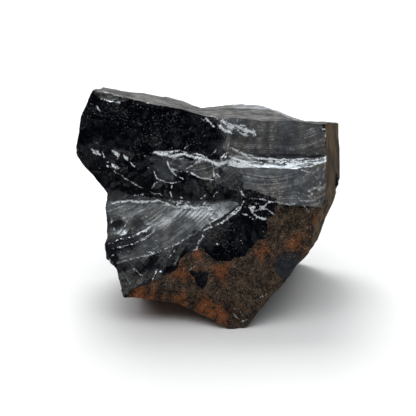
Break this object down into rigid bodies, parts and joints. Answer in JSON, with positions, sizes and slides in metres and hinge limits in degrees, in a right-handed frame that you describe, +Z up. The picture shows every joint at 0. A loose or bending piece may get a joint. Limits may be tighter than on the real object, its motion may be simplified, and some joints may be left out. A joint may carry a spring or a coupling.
{
  "type": "obsidian chunk",
  "caption": "Broken chunk of black volcanic glass, glossy curved flake scars and ledges in front, brown and orange weathered crust low down, standing on a flat foot.",
  "frame": {"origin": "middle of the bounding box's footprint, on the surface the stone stands on", "axes": "+Z up, +X to the right across the stone's width, front with the glossy scars facing -Y, the tip of the foot at the front"},
  "size_m": [0.0818, 0.0694, 0.0653],
  "materials": {
    "obsidian": "glossy black volcanic glass with frosted grey and white crushed edges, rough brown and orange crust over the lower right and dusty grey-beige top"
  },
  "bodies": {
    "root": {"obsidian_chunk": "obsidian"}
  },
  "joints": []
}
